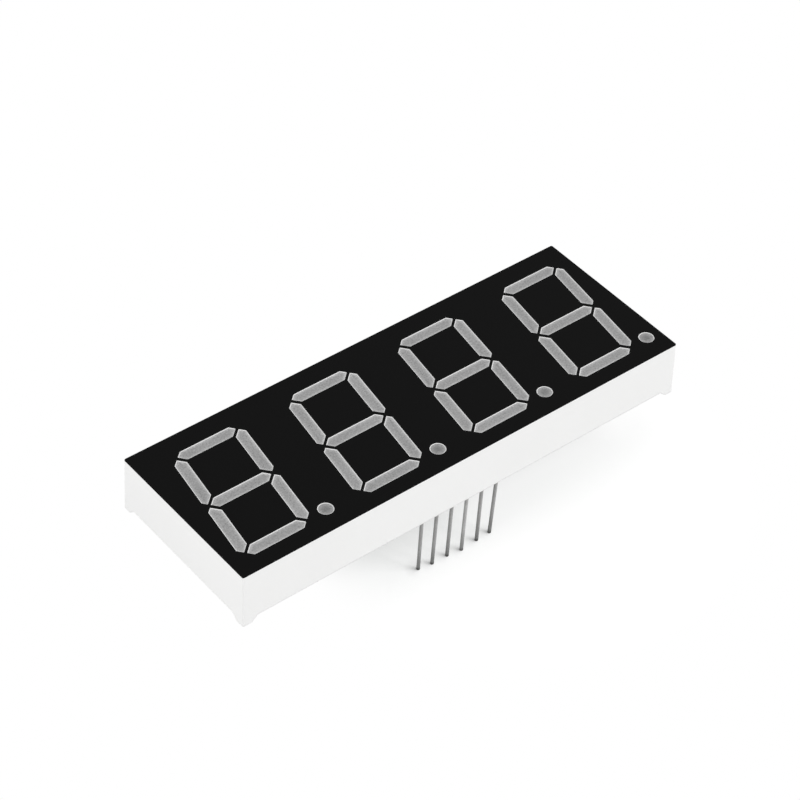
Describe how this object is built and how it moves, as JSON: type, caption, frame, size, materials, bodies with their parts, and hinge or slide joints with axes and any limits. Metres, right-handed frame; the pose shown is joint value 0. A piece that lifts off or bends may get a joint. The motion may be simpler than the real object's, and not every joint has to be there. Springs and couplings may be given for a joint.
{
  "type": "seven segment display module",
  "caption": "Seven segment LED display module: slanted digits with decimal points in a black face, white reflector housing with corner feet, two rows of round pins.",
  "frame": {"origin": "under the middle of the module, level with the pin tips that it stands on", "axes": "+X along the digits from left to right, +Y towards their tops, +Z out of the face"},
  "size_m": [0.0724, 0.0262, 0.019],
  "materials": {
    "housing": "fine satin white moulding",
    "face": "matte black print",
    "resin": "milky grey diffusing resin",
    "board": "green solder mask on glass fibre",
    "chip": "bare semiconductor",
    "pin": "dull tinned wire and solder"
  },
  "bodies": {
    "root": {"reflector_housing": "housing", "black_face": "face", "circuit_board": "board", "digit_1_segment_a": "resin", "digit_1_segment_b": "resin", "digit_1_segment_c": "resin", "digit_1_segment_d": "resin", "digit_1_segment_e": "resin", "digit_1_segment_f": "resin", "digit_1_segment_g": "resin", "digit_1_point": "resin", "digit_1_chips": "chip", "digit_2_segment_a": "resin", "digit_2_segment_b": "resin", "digit_2_segment_c": "resin", "digit_2_segment_d": "resin", "digit_2_segment_e": "resin", "digit_2_segment_f": "resin", "digit_2_segment_g": "resin", "digit_2_point": "resin", "digit_2_chips": "chip", "digit_3_segment_a": "resin", "digit_3_segment_b": "resin", "digit_3_segment_c": "resin", "digit_3_segment_d": "resin", "digit_3_segment_e": "resin", "digit_3_segment_f": "resin", "digit_3_segment_g": "resin", "digit_3_point": "resin", "digit_3_chips": "chip", "digit_4_segment_a": "resin", "digit_4_segment_b": "resin", "digit_4_segment_c": "resin", "digit_4_segment_d": "resin", "digit_4_segment_e": "resin", "digit_4_segment_f": "resin", "digit_4_segment_g": "resin", "digit_4_point": "resin", "digit_4_chips": "chip", "pin_1": "pin", "pin_2": "pin", "pin_3": "pin", "pin_4": "pin", "pin_5": "pin", "pin_6": "pin", "pin_7": "pin", "pin_8": "pin", "pin_9": "pin", "pin_10": "pin", "pin_11": "pin", "pin_12": "pin"}
  },
  "joints": []
}
